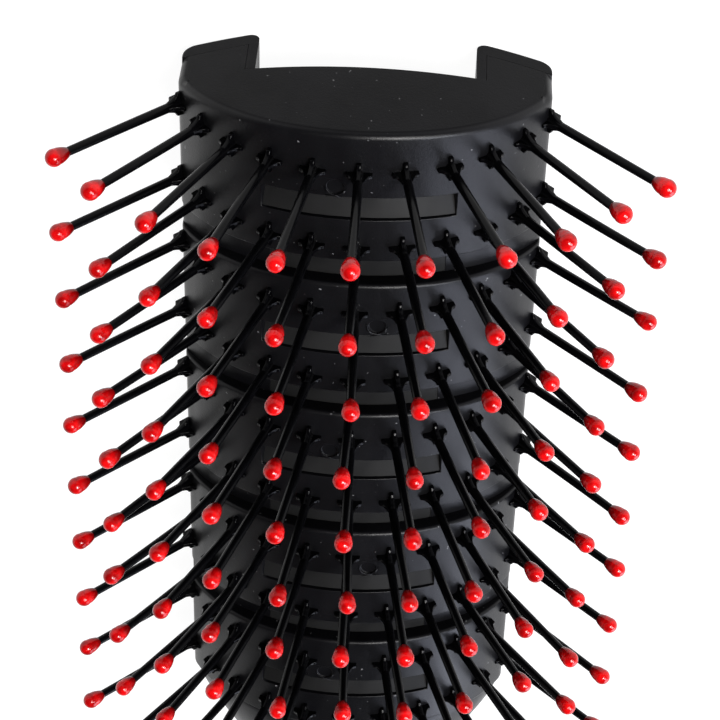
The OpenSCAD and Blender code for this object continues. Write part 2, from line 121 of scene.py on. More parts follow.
EDGE_STRIP = 1.2 * MM       # a row of faces beside each edge, which gives its rounding room
RIM_ROUND = 0.85 * MM       # widths of the rounded edges of the front shell
EDGE_ROUND = 0.5 * MM
LOWER_EDGE_ROUND = 0.2 * MM
WINDOW_ROUND = 0.1 * MM
SEAM_ROUND = 0.03 * MM
CORNER_REACH = 0.9 * MM     # the turn from face to side wall ends this far down the wall
PLATE_CUT_X = 21.6 * MM     # the strips of the end plate run out to here
SAME_POINT = 0.002 * MM     # points nearer than this become one
CUT_REACH = 0.0001 * MM     # a cut goes through a vertex that is nearer than this
PIN_WANDER = 0.010          # spread of a pin's lean, in radians
PIN_BOW = 0.10 * MM         # spread of a pin's bow at its tip
TIP_SPREAD = 0.04           # largest difference in a ball's size, as a part of its radius
NECK_SHADE_START = 0.35 * MM      # painted shade on the tip darkens from here down, below the middle of the ball
STEM_END = 0.1 * MM         # the stem ends this far below the middle of the ball

# ---- places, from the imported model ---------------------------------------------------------

shell_low, shell_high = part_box("front_shell")
TIP_Y = shell_high.y
HEAD_END_Y = shell_low.y
FACE_Z = shell_high.z - FACE_R
SLOPE = RAIL_RISE / (BACK_HALF_W - CHANNEL_HALF_W)
RAIL_DROP = REST_CORNER_R * (SLOPE + math.hypot(1, SLOPE) - 1)
SUNK_Z = FACE_Z - SUNK_DROP
row_names = sorted(n for n in nodes if n.startswith("pin_row_"))
tip_names = sorted(n for n in nodes if n.startswith("tip_row_"))
row_ys = [(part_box(n)[0].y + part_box(n)[1].y) / 2 for n in row_names]
BANDS = len(row_ys) // 2


def rail_z(x):
    """Height of the back face of a rail."""
    return SLOPE * (abs(x) - CHANNEL_HALF_W) - RAIL_DROP


def shell_low_z(x):
    """Height of the front shell's lower edge."""
    return rail_z(x) + RAIL_T + SEAM


# ---- materials -----------------------------------------------------------------------------

class Nodes:
    """A small helper that builds one procedural material."""

    def __init__(self, name, rough, specular):
        self.mat = bpy.data.materials.new(name)
        self.mat.use_nodes = True
        self.tree = self.mat.node_tree
        self.shader = self.tree.nodes["Principled BSDF"]
        self.shader.inputs["Roughness"].default_value = rough
        self.shader.inputs["Specular IOR Level"].default_value = specular
        self.coords = self.add("ShaderNodeTexCoord").outputs["Object"]

    def add(self, kind, **values):
        node = self.tree.nodes.new(kind)
        for key, value in values.items():
            setattr(node, key, value)
        return node

    def link(self, source, target):
        self.tree.links.new(source, target)

    def stretched(self, scale):
        """The object's coordinates, scaled by a different amount along each axis."""
        mapping = self.add("ShaderNodeMapping")
        mapping.inputs["Scale"].default_value = scale
        self.link(self.coords, mapping.inputs["Vector"])
        return mapping.outputs["Vector"]

    def noise(self, scale, detail, coords=None):
        node = self.add("ShaderNodeTexNoise")
        node.inputs["Scale"].default_value = scale
        node.inputs["Detail"].default_value = detail
        self.link(coords or self.coords, node.inputs["Vector"])
        return node.outputs["Fac"]

    def ramp(self, value, low, high, out_low=0.0, out_high=1.0):
        node = self.add("ShaderNodeMapRange")
        node.inputs["From Min"].default_value = low
        node.inputs["From Max"].default_value = high
        node.inputs["To Min"].default_value = out_low
        node.inputs["To Max"].default_value = out_high
        self.link(value, node.inputs["Value"])
        return node.outputs["Result"]

    def mix(self, factor, a, b):
        """Mixes two colours, each a tuple or another node's output."""
        node = self.add("ShaderNodeMix", data_type="RGBA")
        self.link(factor, node.inputs["Factor"])
        for socket, colour in ((node.inputs[6], a), (node.inputs[7], b)):
            if hasattr(colour, "is_output"):
                self.link(colour, socket)
            else:
                socket.default_value = (*colour, 1)
        return node.outputs[2]

    def colour(self, source):
        self.link(source, self.shader.inputs["Base Color"])

    def roughness(self, source):
        self.link(source, self.shader.inputs["Roughness"])

    def bump(self, layers):
        """Adds bump from (height, strength, distance in metres) layers."""
        previous = None
        for height, strength, distance in layers:
            node = self.add("ShaderNodeBump")
            node.inputs["Strength"].default_value = strength
            node.inputs["Distance"].default_value = distance
            self.link(height, node.inputs["Height"])
            if previous:
                self.link(previous, node.inputs["Normal"])
            previous = node.outputs["Normal"]
        self.link(previous, self.shader.inputs["Normal"])


def moulded_plastic(name, dark, light, rough, grain, specular, dust=0.0, dull_ends=False):
    """Satin moulded plastic: fine spark-eroded grain, flow streaks along the part and perhaps dust.
    The end faces that look towards the head's tip can be duller than the rest."""
    m = Nodes(name, rough, specular)
    if dull_ends:
        split = m.add("ShaderNodeSeparateXYZ")
        m.link(m.add("ShaderNodeNewGeometry").outputs["Normal"], split.inputs["Vector"])
        sheen = m.ramp(split.outputs["Y"], 0.80, 0.97, specular, 0.25 * specular)
        m.link(sheen, m.shader.inputs["Specular IOR Level"])
    cloud = m.noise(90, 3)
    streak = m.noise(260, 3, m.stretched((1, 0.05, 1)))
    colour = m.mix(m.ramp(cloud, 0.35, 0.7), dark, light)
    if dust:
        speck = m.ramp(m.noise(1500, 1), 0.755, 0.80)
        colour = m.mix(m.ramp(speck, 0, 1, 0, dust), colour, (0.32, 0.32, 0.33))
    m.colour(colour)
    m.roughness(m.ramp(streak, 0.3, 0.7, rough - 0.06, rough + 0.07))
    m.bump([
        (m.noise(7000, 2), grain, 0.00003),
        (m.noise(2800, 2), grain * 0.6, 0.00004),
        (m.noise(900, 2), 0.18, 0.00002),
        (streak, 0.10, 0.00005),
    ])
    return m.mat


def gloss_plastic(name, dark, light, rough, specular):
    """Glossy plastic with slight colour variation and a gently uneven surface."""
    m = Nodes(name, rough, specular)
    cloud = m.noise(420, 2)
    m.colour(m.mix(m.ramp(cloud, 0.3, 0.7), dark, light))
    m.roughness(m.ramp(m.noise(1300, 2), 0.3, 0.7, rough * 0.8, rough * 1.3))
    m.bump([(m.noise(700, 2), 0.08, 0.00006)])
    return m.mat


def dipped_red(name):
    """Red dipped nylon: slightly blotchy, with painted shade darkening it to near black towards the neck.
    """
    m = Nodes(name, 0.14, 0.30)
    neck_shade = m.add("ShaderNodeAttribute", attribute_name="painted_neck_shade").outputs["Fac"]
    deep_red = (0.24, 0.0010, 0.0015)
    bright_red = (0.60, 0.003, 0.004)
    painted_shade_black = (0.06, 0.0004, 0.0006)
    blotch = m.mix(m.ramp(m.noise(650, 3), 0.35, 0.68), deep_red, bright_red)
    # Painted shade: down the neck, the blotchy red is mixed towards near black
    m.colour(m.mix(m.ramp(neck_shade, 0.0, 0.7, 0.0, 0.85), blotch, painted_shade_black))
    m.roughness(m.ramp(m.noise(1300, 2), 0.3, 0.7, 0.10, 0.20))
    m.bump([(m.noise(1100, 2), 0.3, 0.00006)])
    return m.mat


def rubber(name):
    """Matt soft-touch rubber with a fine orange-peel skin and light handling marks."""
    m = Nodes(name, 0.62, 0.12)
    cloud = m.noise(60, 4)
    m.colour(m.mix(m.ramp(cloud, 0.3, 0.75), (0.006, 0.006, 0.0065), (0.012, 0.012, 0.0125)))
    m.roughness(m.ramp(m.noise(140, 3), 0.3, 0.7, 0.52, 0.72))
    m.bump([
        (m.noise(3200, 2), 0.35, 0.00005),
        (m.noise(9000, 1), 0.2, 0.00002),
    ])
    m.shader.inputs["Sheen Weight"].default_value = 0.03
    m.shader.inputs["Sheen Roughness"].default_value = 0.5
    return m.mat


def plated_steel(name):
    """Zinc-plated steel with fine brushed streaks."""
    m = Nodes(name, 0.3, 0.5)
    m.shader.inputs["Metallic"].default_value = 1.0
    brushed = m.noise(1800, 2, m.stretched((1, 0.1, 1)))
    m.colour(m.mix(brushed, (0.36, 0.36, 0.38), (0.55, 0.55, 0.57)))
    m.roughness(m.ramp(brushed, 0.3, 0.7, 0.24, 0.4))
    m.bump([(brushed, 0.15, 0.00002)])
    return m.mat


def floor_paper(name):
    """Grey paper that glows: the brush stands on white, but little of it reflects."""
    m = Nodes(name, 0.85, 0.05)
    m.colour(m.mix(m.noise(9, 4), (0.13, 0.13, 0.13), (0.16, 0.16, 0.16)))
    m.bump([(m.noise(2500, 2), 0.1, 0.00002)])
    m.shader.inputs["Emission Color"].default_value = (1, 1, 1, 1)
    m.shader.inputs["Emission Strength"].default_value = 0.96
    return m.mat


SHELL = moulded_plastic(
    "shell_satin", (0.0018, 0.0018, 0.0022), (0.0034, 0.0034, 0.0042),
    rough=0.35, grain=0.55, specular=0.18, dust=0.35, dull_ends=True)
COVER = moulded_plastic(
    "cover_satin", (0.0018, 0.0018, 0.0022), (0.0036, 0.0036, 0.0044),
    rough=0.37, grain=0.50, specular=0.17, dull_ends=True)
CORE = moulded_plastic(
    "core_satin", (0.0050, 0.0050, 0.0058), (0.0080, 0.0080, 0.0092), rough=0.36, grain=0.35, specular=0.16)
CAP = moulded_plastic(
    "cap_satin", (0.0050, 0.0050, 0.0058), (0.0080, 0.0080, 0.0092), rough=0.38, grain=0.35, specular=0.16)
CARRIER = moulded_plastic(
    "carrier_smooth", (0.007, 0.007, 0.007), (0.011, 0.011, 0.011), rough=0.55, grain=0.12, specular=0.09)
PIN = gloss_plastic(
    "pin_nylon", (0.0006, 0.0006, 0.0008), (0.0014, 0.0014, 0.0018), rough=0.16, specular=0.08)
TIP = dipped_red("tip_red")
RING = gloss_plastic(
    "ring_polished", (0.004, 0.004, 0.005), (0.007, 0.007, 0.008), rough=0.14, specular=0.5)
GRIP = rubber("grip_rubber")
SCREW = plated_steel("screw_zinc")


# ---- mesh helpers --------------------------------------------------------------------------

def new_object(name, bm, material, slot, *replaced):
    """Makes a smooth-shaded piece from a bmesh, riding on the root body."""
    mesh = bpy.data.meshes.new(name)
    bm.to_mesh(mesh)
    bm.free()
    for polygon in mesh.polygons:
        polygon.use_smooth = True
    mesh.materials.append(material)
    piece = bpy.data.objects.new(name, mesh)
    bpy.context.scene.collection.objects.link(piece)
    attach(piece, "root")
    if replaced:
        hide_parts(*replaced)
    return piece


def lathe(bm, profile, sides, place):
    """Turns a profile of (radius, height) round Z, and returns its rings of vertices.
    A radius of 0 closes an end."""
    rings = []
    for radius, height in profile:
        if radius == 0:
            rings.append([bm.verts.new(place(0, 0, height))])
            continue
        ring = []
        for i in range(sides):
            a = 2 * math.pi * i / sides
            ring.append(bm.verts.new(place(radius * math.cos(a), radius * math.sin(a), height)))
        rings.append(ring)
    for low, high in zip(rings, rings[1:]):
        for i in range(sides):
            j = (i + 1) % sides
            if len(low) == 1:
                bm.faces.new((low[0], high[j], high[i]))
            elif len(high) == 1:
                bm.faces.new((low[i], low[j], high[0]))
            else:
                bm.faces.new((low[i], low[j], high[j], high[i]))
    return rings


def weight_convex_edges(bm, widest, full):
    """Gives each sharp convex edge a bevel weight that its neighbours have room for, and marks
    the sharp concave ones. widest(edge) is the width wanted, and full the modifier's width."""
    weights = bm.edges.layers.float
    layer = weights.get("bevel_weight_edge") or weights.new("bevel_weight_edge")
    sharp = math.radians(40)
    share_of_room = 0.42
    least = 0.02 * MM
    for edge in bm.edges:
        if len(edge.link_faces) != 2:
            continue
        angle = edge.calc_face_angle_signed(0)
        if abs(angle) < sharp:
            continue
        if angle < 0:
            edge.smooth = False
            continue
        room = min(face.calc_area() for face in edge.link_faces) / max(edge.calc_length(), 1e-6)
        width = min(widest(edge), share_of_room * room)
        if width < least:
            edge.smooth = False
        else:
            edge[layer] = width / full


def round_edges(piece, width, segments, by_weight=False, angle=35):
    """Rounds the edges with a bevel weight, or else those sharper than the angle."""
    bevel = piece.modifiers.new("rounded edges", "BEVEL")
    bevel.width = width
    bevel.segments = segments
    bevel.use_clamp_overlap = not by_weight
    bevel.limit_method = "WEIGHT" if by_weight else "ANGLE"
    bevel.angle_limit = math.radians(angle)
    normals = piece.modifiers.new("weighted normals", "WEIGHTED_NORMAL")
    normals.keep_sharp = True
    normals.weight = 80


# ---- front shell ---------------------------------------------------------------------------

def sag(x):
    """How far the arc of the band edges has dropped at x."""
    return EDGE_ARC_R - math.sqrt(EDGE_ARC_R ** 2 - x * x)


def section_columns():
    """(x, z, outward x, outward z) points round the outside of the head's section."""
    window_steps, outer_steps, corner_steps, side_steps = 13, 17, 4, 4
    window_angle = math.asin(WINDOW_HALF_W / FACE_R)
    outer_angle = SIDE_ANGLE - math.radians(2) - window_angle
    angles = [window_angle * i / window_steps for i in range(window_steps + 1)]
    angles += [window_angle + outer_angle * i / outer_steps for i in range(1, outer_steps + 1)]
    half = []
    for a in angles:
        half.append((FACE_R * math.sin(a), FACE_Z + FACE_R * math.cos(a), math.sin(a), math.cos(a)))
    corner = Vector((FACE_R * math.sin(SIDE_ANGLE), FACE_Z + FACE_R * math.cos(SIDE_ANGLE)))
    foot = Vector((BACK_HALF_W, 0))
    slope = (corner - foot) / corner.y
    side_normal = Vector((slope.y, -slope.x)).normalized()
    start = Vector(half[-1][:2])
    start_normal = Vector(half[-1][2:])
    end = foot + slope * (corner.y - CORNER_REACH)
    for i in range(1, corner_steps + 1):
        t = i / corner_steps
        point = start * (1 - t) ** 2 + corner * 2 * t * (1 - t) + end * t * t
        normal = (start_normal * (1 - t) + side_normal * t).normalized()
        half.append((*point, *normal))
    for i in range(1, side_steps + 1):
        point = foot + slope * (end.y + (shell_low_z(BACK_HALF_W) - end.y) * i / side_steps)
        half.append((*point, *side_normal))
    return [(-x, z, -nx, nz) for x, z, nx, nz in reversed(half[1:])] + half


def head_lines():
    """The lines along the head at which its surface changes, from the tip to the shoulder."""
    lines = [TIP_Y, TIP_Y - PLATE_T]
    for band in range(BANDS):
        top = row_ys[2 * band]
        low = row_ys[2 * band + 1]
        if band:
            lines += [top + BAND_LEAD, top + BAND_LEAD - EDGE_STRIP]
        lines += [top, top - WINDOW_TOP + EDGE_STRIP, top - WINDOW_TOP]
        lines += [top - WINDOW_TOP - WINDOW_H, top - WINDOW_TOP - WINDOW_H - EDGE_STRIP]
        lines += [low]
        if band < BANDS - 1:
            lines += [low - BAND_TAIL + EDGE_STRIP, low - BAND_TAIL]
    lines.append(HEAD_END_Y)
    return sorted(set(lines), reverse=True)


def sunk_depth(column):
    """Depth of the sunk wall between two bands, below the outside of the head."""
    least_lip = 0.01 * MM
    x, z = column[:2]
    depth = math.hypot(x, z - SUNK_Z) - SUNK_R
    return min(max(depth, 0.0), SHELL_T - least_lip)


def make_front_shell():
    """The shell: a grid of columns round the section and lines along the head, three layers deep."""
    columns = section_columns()
    lines = head_lines()
    slots = [
        (row_ys[2 * band + 2] + BAND_LEAD, row_ys[2 * band + 1] - BAND_TAIL)
        for band in range(BANDS - 1)
    ]
    windows = [
        (row_ys[2 * band] - WINDOW_TOP - WINDOW_H, row_ys[2 * band] - WINDOW_TOP)
        for band in range(BANDS)
    ]

    def layers(k, j):
        """Which of the three layers of depth are solid in a cell of the grid."""
        if not (0 <= k < len(columns) - 1 and 0 <= j < len(lines) - 1):
            return (False, False, False)
        x = (columns[k][0] + columns[k + 1][0]) / 2
        y = (lines[j] + lines[j + 1]) / 2
        central = abs(x) < WINDOW_HALF_W
        in_slot = any(low < y < high for low, high in slots)
        in_window = any(low < y < high for low, high in windows)
        if central and (in_slot or in_window):
            return (False, False, False)
        if in_slot:
            return (False, True, True)
        return (True, True, False)

    def depths(column):
        """The four depths that bound the layers."""
        sunk = sunk_depth(column)
        return (0.0, sunk, SHELL_T, SHELL_T + sunk)

    bm = bmesh.new()
    known = {}

    def vertex(k, j, level):
        x, z, nx, nz = columns[k]
        depth = depths(columns[k])[level]
        key = (k, j, round(depth / MM, 4))
        if key not in known:
            if k in (0, len(columns) - 1):
                z = shell_low_z(abs(x) - depth) + nz * depth
            known[key] = bm.verts.new((x - nx * depth, lines[j] - sag(x), z - nz * depth))
        return known[key]

    def face(*places):
        """A face with its corners at these (column, line, level) places, less those that coincide."""
        corners = [vertex(*place) for place in places]
        distinct = []
        for corner in corners:
            if corner not in distinct:
                distinct.append(corner)
        if len(distinct) > 2:
            try:
                bm.faces.new(distinct)
            except ValueError:
                pass

    for k in range(len(columns) - 1):
        for j in range(len(lines) - 1):
            here = layers(k, j)
            in_plate = j == 0
            for level in range(3):
                if not here[level]:
                    continue
                top, under = level, level + 1
                if level == 0 or not here[level - 1]:
                    face((k, j, top), (k, j + 1, top), (k + 1, j + 1, top), (k + 1, j, top))
                if (level == 2 or not here[level + 1]) and not in_plate:
                    face((k, j, under), (k + 1, j, under), (k + 1, j + 1, under), (k, j + 1, under))
                if not layers(k - 1, j)[level]:
                    face((k, j, top), (k, j, under), (k, j + 1, under), (k, j + 1, top))
                if not layers(k + 1, j)[level]:
                    face((k + 1, j, top), (k + 1, j + 1, top), (k + 1, j + 1, under), (k + 1, j, under))
                if j > 0 and not layers(k, j - 1)[level]:
                    face((k, j, top), (k + 1, j, top), (k + 1, j, under), (k, j, under))
                if not layers(k, j + 1)[level]:
                    face((k, j + 1, top), (k, j + 1, under), (k + 1, j + 1, under), (k + 1, j + 1, top))

    def outline(level, j):
        """The vertices round the section at one level and line."""
        return [vertex(k, j, level) for k in range(len(columns))]

    def notch(y):
        """New vertices at the four corners of the end plate's notch."""
        half = NOTCH_HALF_W
        low = shell_low_z(half)
        corners = [(half, low), (half, NOTCH_Z), (-half, NOTCH_Z), (-half, low)]
        return [bm.verts.new((x, y - sag(x), z)) for x, z in corners]

    def follow_arc(kind, pieces, cuts, y):
        """Cuts the faces or edges across the head at each x, and moves them to the arc through y."""
        for x in cuts:
            geometry = set(pieces).union(v for piece in pieces for v in piece.verts)
            if kind is bmesh.types.BMFace:
                geometry.update(e for f in pieces for e in f.edges)
            result = bmesh.ops.bisect_plane(
                bm, geom=list(geometry), dist=CUT_REACH, plane_co=(x, 0, 0), plane_no=(1, 0, 0))
            pieces = [g for g in result["geom"] if isinstance(g, kind)]
        for v in {v for piece in pieces for v in piece.verts}:
            v.co.y = y - sag(v.co.x)
        return pieces

    def rim_cuts(level, j):
        return [v.co.x for v in outline(level, j) if abs(v.co.x) < PLATE_CUT_X]

    def plate_face(level, j, foot):
        """One side of the end plate, in strips: the outline and then the lower side, from +x to -x."""
        cuts = sorted(rim_cuts(level, j) + [-NOTCH_HALF_W, NOTCH_HALF_W])
        whole = bm.faces.new(outline(level, j) + foot)
        return follow_arc(bmesh.types.BMFace, [whole], cuts, lines[j])

    def on_skirt(edge):
        """Whether an edge lies along the lower side of the end plate or round its notch."""
        low = all(v.co.z < NOTCH_Z + 0.1 * MM for v in edge.verts)
        wall_x = BACK_HALF_W - SHELL_T - 0.2 * MM
        on_side = all(
            abs(v.co.x) > wall_x and v.co.z > shell_low_z(v.co.x) + SAME_POINT for v in edge.verts)
        return low and not on_side

    def skirt_edges(faces):
        edges = {e for f in faces for e in f.edges}
        return [e for e in edges if len(e.link_faces) == 1 and on_skirt(e)]

    # The front of the end plate, the skirt back from its lower side, and its back
    front = plate_face(0, 0, [vertex(len(columns) - 1, 0, 2)] + notch(lines[0]) + [vertex(0, 0, 2)])
    skirt = bmesh.ops.extrude_edge_only(bm, edges=skirt_edges(front))["geom"]
    for v in {g for g in skirt if isinstance(g, bmesh.types.BMVert)}:
        v.co.y -= PLATE_T
    back = plate_face(2, 1, notch(lines[1]))

    # The skirt and the back meet along one line, so both get the same vertices there
    line = [g for g in skirt if isinstance(g, bmesh.types.BMEdge)] + skirt_edges(back)
    follow_arc(bmesh.types.BMEdge, line, sorted({*rim_cuts(0, 0), *rim_cuts(2, 1)}), lines[1])

    bmesh.ops.remove_doubles(bm, verts=bm.verts, dist=SAME_POINT)
    bmesh.ops.dissolve_degenerate(bm, edges=bm.edges, dist=SAME_POINT)
    bmesh.ops.recalc_face_normals(bm, faces=bm.faces)
    bm = cut_marks(bm)

    def wanted(edge):
        """How wide an edge is to be rounded, by where it is."""
        near = 0.05 * MM
        wide = 0.1 * MM
        middle = (edge.verts[0].co + edge.verts[1].co) / 2
        along = middle.y + sag(middle.x)
        at_notch = abs(middle.x) < NOTCH_HALF_W + wide and middle.z < NOTCH_Z + wide
        if at_notch or middle.z < shell_low_z(middle.x) + wide:
            return SEAM_ROUND
        if middle.y > TIP_Y - sag(middle.x) - near:
            return RIM_ROUND
        central = abs(middle.x) < WINDOW_HALF_W + near
        if central and any(low - near < along < high + near for low, high in windows):
            return WINDOW_ROUND
        if any(abs(along - high) < near for low, high in slots):
            return LOWER_EDGE_ROUND
        return EDGE_ROUND

    full = 1.0 * MM
    weight_convex_edges(bm, wanted, full)
    piece = new_object("front_shell_moulding", bm, SHELL, "shell", "front_shell")
    round_edges(piece, full, 3, by_weight=True)
    return piece


def cut_marks(bm):
    """Sinks the round moulding mark above each window, and returns the new bmesh."""
    chamfer = 0.1 * MM
    above = 2 * MM
    cutter_bm = bmesh.new()
    for band in range(BANDS):
        x = -MARK_X if band % 2 == 0 else MARK_X
        y = row_ys[2 * band] - MARK_LEAD
        z = FACE_Z + math.sqrt(FACE_R ** 2 - MARK_X ** 2) - MARK_DEPTH
        profile = [(0, 0), (MARK_R - chamfer, 0), (MARK_R, chamfer), (MARK_R, above), (0, above)]
        lathe(cutter_bm, profile, 40, lambda u, v, w: (x + u, y + v, z + w))
    bmesh.ops.recalc_face_normals(cutter_bm, faces=cutter_bm.faces)
    made = []
    for name, source in (("uncut", bm), ("cutter", cutter_bm)):
        mesh = bpy.data.meshes.new(name)
        source.to_mesh(mesh)
        source.free()
        made.append(bpy.data.objects.new(name, mesh))
        bpy.context.scene.collection.objects.link(made[-1])
    cut = made[0].modifiers.new("marks", "BOOLEAN")
    cut.object = made[1]
    cut.operation = "DIFFERENCE"
    cut.solver = "EXACT"
    graph = bpy.context.evaluated_depsgraph_get()
    result = bmesh.new()
    result.from_object(made[0], graph)
    for piece in made:
        mesh = piece.data
        bpy.data.objects.remove(piece)
        bpy.data.meshes.remove(mesh)
    return result


# ---- pins and tips -------------------------------------------------------------------------

def pin_frame(row, column):
    """Matrix that puts a pin's own frame on the face, and the small tilt and bow that a real pin has."""
    a = (column - (PINS_PER_ROW - 1) / 2) * PIN_STEP
    root = Vector((FACE_R * math.sin(a), row_ys[row], FACE_Z + FACE_R * math.cos(a)))
    lean = Matrix.Rotation(a * PIN_FAN, 4, "Y")
    tilt_x = Matrix.Rotation(rng.gauss(0, PIN_WANDER), 4, "X")
    tilt_y = Matrix.Rotation(rng.gauss(0, PIN_WANDER), 4, "Y")
    bow_x = rng.gauss(0, PIN_BOW)
    bow_y = rng.gauss(0, PIN_BOW)
    return Matrix.Translation(root) @ lean, tilt_x @ tilt_y, bow_x, bow_y


def bent(matrix, wander, bow_x, bow_y):
    """Maps a pin's own coordinates to the frame, leaning above the face and bowed a little."""
    def place(x, y, z):
        if z <= 0:
            return matrix @ Vector((x, y, z))
        bow = (z / PIN_LEN) ** 2
        return matrix @ (wander @ Vector((x, y, z)) + Vector((bow_x * bow, bow_y * bow, 0)))
    return place


def fin(bm, place, turn):
    """One of the two crossed fins at a pin's root, with a hollow slope up to the stem."""
    steps = 5
    hollow = 2.2
    half = FIN_SPAN / 2
    low = FOOT_Z - 0.01 * MM
    outer = half - 0.1 * MM
    inner = STEM_ROOT_R - 0.08 * MM
    top = [(half, FIN_EDGE_H - 0.12 * MM), (outer, FIN_EDGE_H)]
    for i in range(1, steps + 1):
        t = i / steps
        top.append((outer + (inner - outer) * t, FIN_EDGE_H + (FIN_STEM_H - FIN_EDGE_H) * t ** hollow))
    right = [(half, low)] + top
    left = [(-x, z) for x, z in reversed(right)]
    outline = right + left
    for side in (-1, 1):
        ring = []
        for x, z in outline:
            p = (x, side * FIN_T / 2)
            q = p if turn == 0 else (-p[1], p[0])
            ring.append(bm.verts.new(place(q[0], q[1], z)))
        if side == -1:
            first = ring
    count = len(outline)
    for i in range(count):
        j = (i + 1) % count
        bm.faces.new((first[i], first[j], ring[j], ring[i]))
    bm.faces.new(list(reversed(first)))
    bm.faces.new(ring)


def tip_profile(size):
    """A drop: a ball whose lower side swells down into a short taper round the stem."""
    side_steps, ball_steps = 9, 12
    lip = STEM_TIP_R + LIP_T
    bore = STEM_TIP_R + BORE_PLAY
    bore_end = BORE_PLAY - STEM_END
    profile = [(0, bore_end), (bore, bore_end), (bore, -BALL_NECK), (lip, -BALL_NECK + LIP_T / 2)]
    tangent = math.radians(-20)
    ball = BALL_R * size
    start = Vector(profile[-1])
    end = Vector((ball * math.cos(tangent), ball * math.sin(tangent)))
    bulge = Vector((end.x + 0.01 * MM, start.y + 0.60 * (end.y - start.y)))
    for i in range(1, side_steps):
        t = i / side_steps
        profile.append(tuple(start * (1 - t) ** 2 + bulge * 2 * t * (1 - t) + end * t * t))
    for i in range(ball_steps):
        a = tangent + (math.pi / 2 - tangent) * i / ball_steps
        profile.append((ball * math.cos(a), ball * math.sin(a)))
    profile.append((0, ball))
    return [(radius, PIN_LEN + height) for radius, height in profile]


def stem_profile():
    """A pin's round foot and its tapered stem."""
    steps = 12
    chamfer = 0.15 * MM
    foot_low = FOOT_Z - FOOT_T
    profile = [
        (0, foot_low),
        (FOOT_R - chamfer, foot_low),
        (FOOT_R, foot_low + chamfer),
        (FOOT_R, FOOT_Z - chamfer),
        (FOOT_R - chamfer, FOOT_Z),
        (STEM_ROOT_R + 0.1 * MM, FOOT_Z),
        (STEM_ROOT_R, FOOT_Z + 0.2 * MM),
    ]
    for i in range(steps + 1):
        t = i / steps
        profile.append((STEM_ROOT_R + (STEM_TIP_R - STEM_ROOT_R) * t, (PIN_LEN - STEM_END) * t))
    profile.append((0, PIN_LEN - STEM_END))
    return profile


def make_rows():
    """The rows of pins and tips, one piece for each CAD node."""
    stem_sides, tip_sides = 20, 28
    for row, (pin_name, tip_name) in enumerate(zip(row_names, tip_names)):
        pins = bmesh.new()
        tips = bmesh.new()
        neck_shade = tips.verts.layers.float.new("painted_neck_shade")
        for column in range(PINS_PER_ROW):
            place = bent(*pin_frame(row, column))
            lathe(pins, stem_profile(), stem_sides, place)
            fin(pins, place, 0)
            fin(pins, place, 1)
            profile = tip_profile(rng.uniform(1 - TIP_SPREAD, 1 + TIP_SPREAD))
            for (_, height), ring in zip(profile, lathe(tips, profile, tip_sides, place)):
                for v in ring:
                    # Painted shade: how far down the neck this vertex lies, which darkens the tip's colour
                    # there
                    v[neck_shade] = min(max((PIN_LEN - NECK_SHADE_START - height) / BALL_NECK, 0), 1)
        for bm in (pins, tips):
            bmesh.ops.recalc_face_normals(bm, faces=bm.faces)
        piece = new_object("pins_" + pin_name[-2:], pins, PIN, "pin", pin_name)
        round_edges(piece, 0.09 * MM, 2, angle=50)
        new_object("tips_" + tip_name[-2:], tips, TIP, "tip", tip_name)


# ---- parts that keep their CAD mesh ---------------------------------------------------------

def dress(node, material, width=None, segments=2):
    """Gives a CAD part its material, and rounds its moulded edges with modifiers."""
    piece = nodes[node]
    piece.data.materials.clear()
    piece.data.materials.append(material)
    if width:
        weld = piece.modifiers.new("weld", "WELD")
        weld.merge_threshold = 0.001 * MM
        flat = piece.modifiers.new("flat faces", "DECIMATE")
        flat.decimate_type = "DISSOLVE"
        flat.angle_limit = math.radians(0.4)
        round_edges(piece, width, segments)


# ---- handle core -----------------------------------------------------------------------------

def outline_reach(a):
    """Distance from the handle's axis to the head's outline, at an angle in the section."""
    level = 0.001
    dx, dz = math.cos(a), math.sin(a)
    rise = AXIS_H - FACE_Z
    reach = -rise * dz + math.sqrt((rise * dz) ** 2 - rise ** 2 + FACE_R ** 2)
    if abs(dx) > level:
        reach = min(reach, BACK_HALF_W / abs(dx))
    if dz < -level:
        reach = min(reach, AXIS_H / -dz)
    down = SLOPE * abs(dx) - dz
    if down > level:
        reach = min(reach, (AXIS_H - rail_z(0)) / down)
    return reach


def softened_reach(a):
    """The same distance, with the corners of the outline rounded by averaging near directions."""
    spread = [math.radians(d) for d in range(-3, 4)]
    return sum(outline_reach(a + d) for d in spread) / len(spread)


